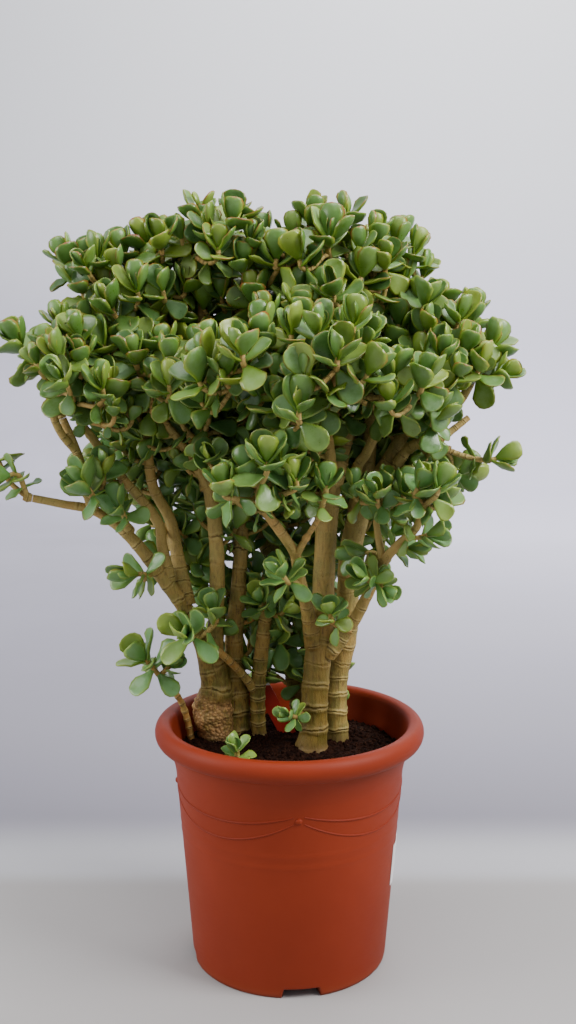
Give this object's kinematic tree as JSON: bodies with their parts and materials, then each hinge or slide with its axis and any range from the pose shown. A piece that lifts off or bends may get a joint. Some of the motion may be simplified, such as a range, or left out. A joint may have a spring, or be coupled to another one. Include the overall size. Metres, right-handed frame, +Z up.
{
  "type": "potted silver dollar plant",
  "caption": "Tree-like jade plant with thick ringed stems and rosettes of round fleshy grey-green leaves, standing in a round terracotta-coloured plastic pot with a rolled rim.",
  "frame": {"origin": "centre of the pot's flat underside, on the ground", "axes": "+Z up along the pot's axis, +X to the plant's right as seen from the front, -Y towards the front"},
  "size_m": [0.6489, 0.4587, 0.9408],
  "materials": {
    "terracotta_plastic": "moulded, soft sheen",
    "soil": "loose crumbly potting soil",
    "red_plastic": "thin smooth tag",
    "white_label": "blank matt label",
    "bark": "smooth green-tan succulent bark with brown rings",
    "leaf": "waxy leaf with a grey-green bloom"
  },
  "bodies": {
    "root": {"pot": "terracotta_plastic", "soil": "soil", "plant_tag": "red_plastic", "blank_label": "white_label", "stem_front": "bark", "stem_right": "bark", "stem_left": "bark", "stem_short": "bark", "stem_back": "bark", "spray_front_bough": "leaf", "spray_front_spur": "leaf", "spray_front_rise": "leaf", "spray_front_peak": "leaf", "spray_front_sweep": "leaf", "spray_front_reach": "leaf", "spray_low_left": "leaf", "spray_low_left_slim": "leaf", "spray_low_left_bud": "leaf", "spray_low_right": "leaf", "spray_low_right_rise": "leaf", "spray_low_right_bud": "leaf", "spray_low_right_drop": "leaf", "spray_front_cross": "leaf", "spray_front_cross_spur": "leaf", "spray_front_sprig": "leaf", "spray_right_inner": "leaf", "spray_right_bough": "leaf", "spray_right_low": "leaf", "spray_right_far": "leaf", "spray_right_rise": "leaf", "spray_right_spur": "leaf", "spray_left_trunk": "leaf", "spray_left_second": "leaf", "spray_left_second_rise": "leaf", "spray_left_second_out": "leaf", "spray_left_limb": "leaf", "spray_left_fork": "leaf", "spray_left_back_fork": "leaf", "spray_left_crest": "leaf", "spray_left_top": "leaf", "spray_left_thin": "leaf", "spray_left_thinner": "leaf", "spray_left_limb_bud": "leaf", "spray_left_limb_sprig": "leaf", "spray_left_limb_drop": "leaf", "spray_short_trunk": "leaf", "spray_short_arm": "leaf", "spray_back_left": "leaf", "spray_back_rise": "leaf", "spray_back_right": "leaf", "spray_back_far_left": "leaf", "spray_back_low": "leaf", "spray_right_back": "leaf", "spray_right_back_low": "leaf", "spray_right_back_top": "leaf", "spray_left_back": "leaf", "spray_left_back_low": "leaf", "spray_left_back_top": "leaf", "spray_offshoot": "leaf", "spray_seedling": "leaf"}
  },
  "joints": []
}
